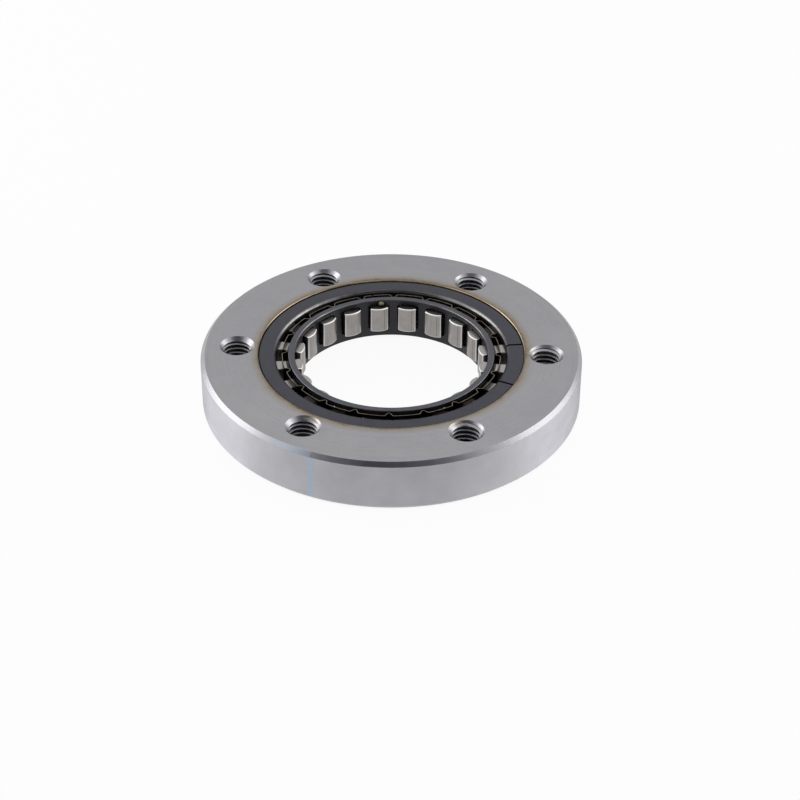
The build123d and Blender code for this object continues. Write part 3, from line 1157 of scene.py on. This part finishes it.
# %% Lay the floor
def studio_white(tree, dim_shader, share):
    """White, by the given share, where the camera, a reflection or a transmitted ray sees it."""
    path = node(tree, "LightPath").outputs
    mirrored = calculate(tree, "MAXIMUM", path["Is Glossy Ray"], path["Is Transmission Ray"])
    seen = calculate(tree, "MAXIMUM", path["Is Camera Ray"], mirrored)
    white = node(tree, "Emission", {"Color": (1, 1, 1, 1), "Strength": 1.0}).outputs[0]
    factor = calculate(tree, "MULTIPLY", seen, share)
    return node(tree, "MixShader", {0: factor, 1: dim_shader, 2: white}).outputs[0]


clear_selection()
bpy.ops.mesh.primitive_plane_add(size=6, location=(0, 0, -0.02 * mm))
floor = bpy.context.object
floor.name = "floor"
floor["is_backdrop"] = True
floor_material, tree, shader, place, from_axis = start_material("studio_floor", {})
tree.nodes.remove(shader)
matt = node(tree, "BsdfDiffuse", {"Color": (0.9, 0.9, 0.9, 1)}).outputs[0]
# the ring lies on the floor from its bore to its rim, and nothing lights the floor there
covered = (27.8 * mm, 29.0 * mm, ring_radius - 2 * mm, ring_radius - 1 * mm)
ramp_reach = 100 * mm
near = calculate(tree, "DIVIDE", from_axis, ramp_reach)
open_floor = ramp(tree, near, *zip((edge / ramp_reach for edge in covered), (0.94, 0.0, 0.0, 0.94)))
tree.links.new(studio_white(tree, matt, open_floor), tree.nodes["Material Output"].inputs["Surface"])
give(floor, floor_material)
print("floor:", [round(size, 2) for size in floor.dimensions], "m")

# %% Set the camera
camera_swing = Matrix.Rotation(math.radians(2.34), 4, "Z")
camera_tilt = Matrix.Rotation(math.pi / 2 - math.radians(35.02), 4, "X")
camera_roll = Matrix.Rotation(math.radians(0.3435), 4, "Z")
camera_turn = camera_swing @ camera_tilt
clear_selection()
bpy.ops.object.camera_add(location=camera_turn @ Vector((2.25 * mm, -1.371 * mm, 514.77 * mm)))
camera = bpy.context.object
camera.rotation_euler = (camera_turn @ camera_roll).to_euler()
camera.data.sensor_width = 36
camera.data.lens = 90.51
bpy.context.scene.camera = camera
bpy.context.scene.view_settings.view_transform = "Standard"
print("camera:", round(camera.location.length, 3), "m from the clutch")

# %% Hang the soft boxes
def add_softbox(name, azimuth, elevation, distance, width, height, brightness):
    """A soft box that faces the clutch, azimuth from +X, whose reflection is so many times white."""
    swing = Matrix.Rotation(math.radians(azimuth + 90), 4, "Z")
    turn = swing @ Matrix.Rotation(math.radians(90 - elevation), 4, "X")
    clear_selection()
    place = turn @ Vector((0, 0, distance))
    bpy.ops.object.light_add(type="AREA", location=place, rotation=turn.to_euler())
    lamp = bpy.context.object
    lamp.name = name
    lamp.data.shape = "RECTANGLE"
    lamp.data.size, lamp.data.size_y = width, height
    lamp.data.energy = brightness * math.pi * width * height
    print(f"{name}: {lamp.data.energy:.2f} W")


# each with its azimuth and elevation in degrees, its distance, width and height in metres, its brightness
add_softbox("left_softbox", 165, 25, 0.6, 0.5, 0.3, 2.75)
add_softbox("right_softbox", 15, 28, 0.6, 0.5, 0.28, 2.35)

# %% Set up the dark screen
screen_radius = 0.7
# each patch: its azimuths and its elevations, in degrees, from and to
dark_patches = ((-141, -42, 22, 68), (55, 122, 0, 20))


def in_dark_patch(radius, angle, height):
    """Whether a place on the sphere round the clutch lies in a dark patch."""
    azimuth = math.degrees(angle)
    elevation = math.degrees(math.atan2(height, radius))
    return any(west < azimuth < east and low < elevation < high for west, east, low, high in dark_patches)


clear_selection()
bpy.ops.mesh.primitive_uv_sphere_add(segments=72, ring_count=36, radius=screen_radius)
screen = bpy.context.object
screen.name = "dark_screen"
edit(screen)
pick("FACE", lambda radius, angle, height: not in_dark_patch(radius, angle, height))
bpy.ops.mesh.delete(type="FACE")
leave_edit()
screen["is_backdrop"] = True
screen.visible_camera = False
screen.visible_shadow = False
screen.visible_diffuse = False
screen_finish = {"Base Color": (0.06, 0.075, 0.11, 1), "Roughness": 1.0}
give(screen, start_material("dark_screen", screen_finish)[0])
print("dark screen:", len(screen.data.polygons), "faces")

# %% Light the studio
world = bpy.data.worlds.new("studio")
bpy.context.scene.world = world
world.use_nodes = True
tree = world.node_tree
dim = tree.nodes["Background"]
dim.inputs["Color"].default_value = (1, 1, 1, 1)
dim.inputs["Strength"].default_value = 0.55
tree.links.new(studio_white(tree, dim.outputs[0], 1.0), tree.nodes["World Output"].inputs["Surface"])
print("studio light:", round(dim.inputs["Strength"].default_value, 2))

# %% [markdown]
# ## Finish
#
# The dressed pieces' box is measured again, and how far it has grown past the solid model's box is printed.
# The detailed pieces have to stay within the solid model's box.

# %% Measure how far the box has grown
dressed_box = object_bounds()
growth = [round((after - before) / mm, 4) for before, after in zip(solid_box[1], dressed_box[1])]
print("grown by:", growth, "mm")
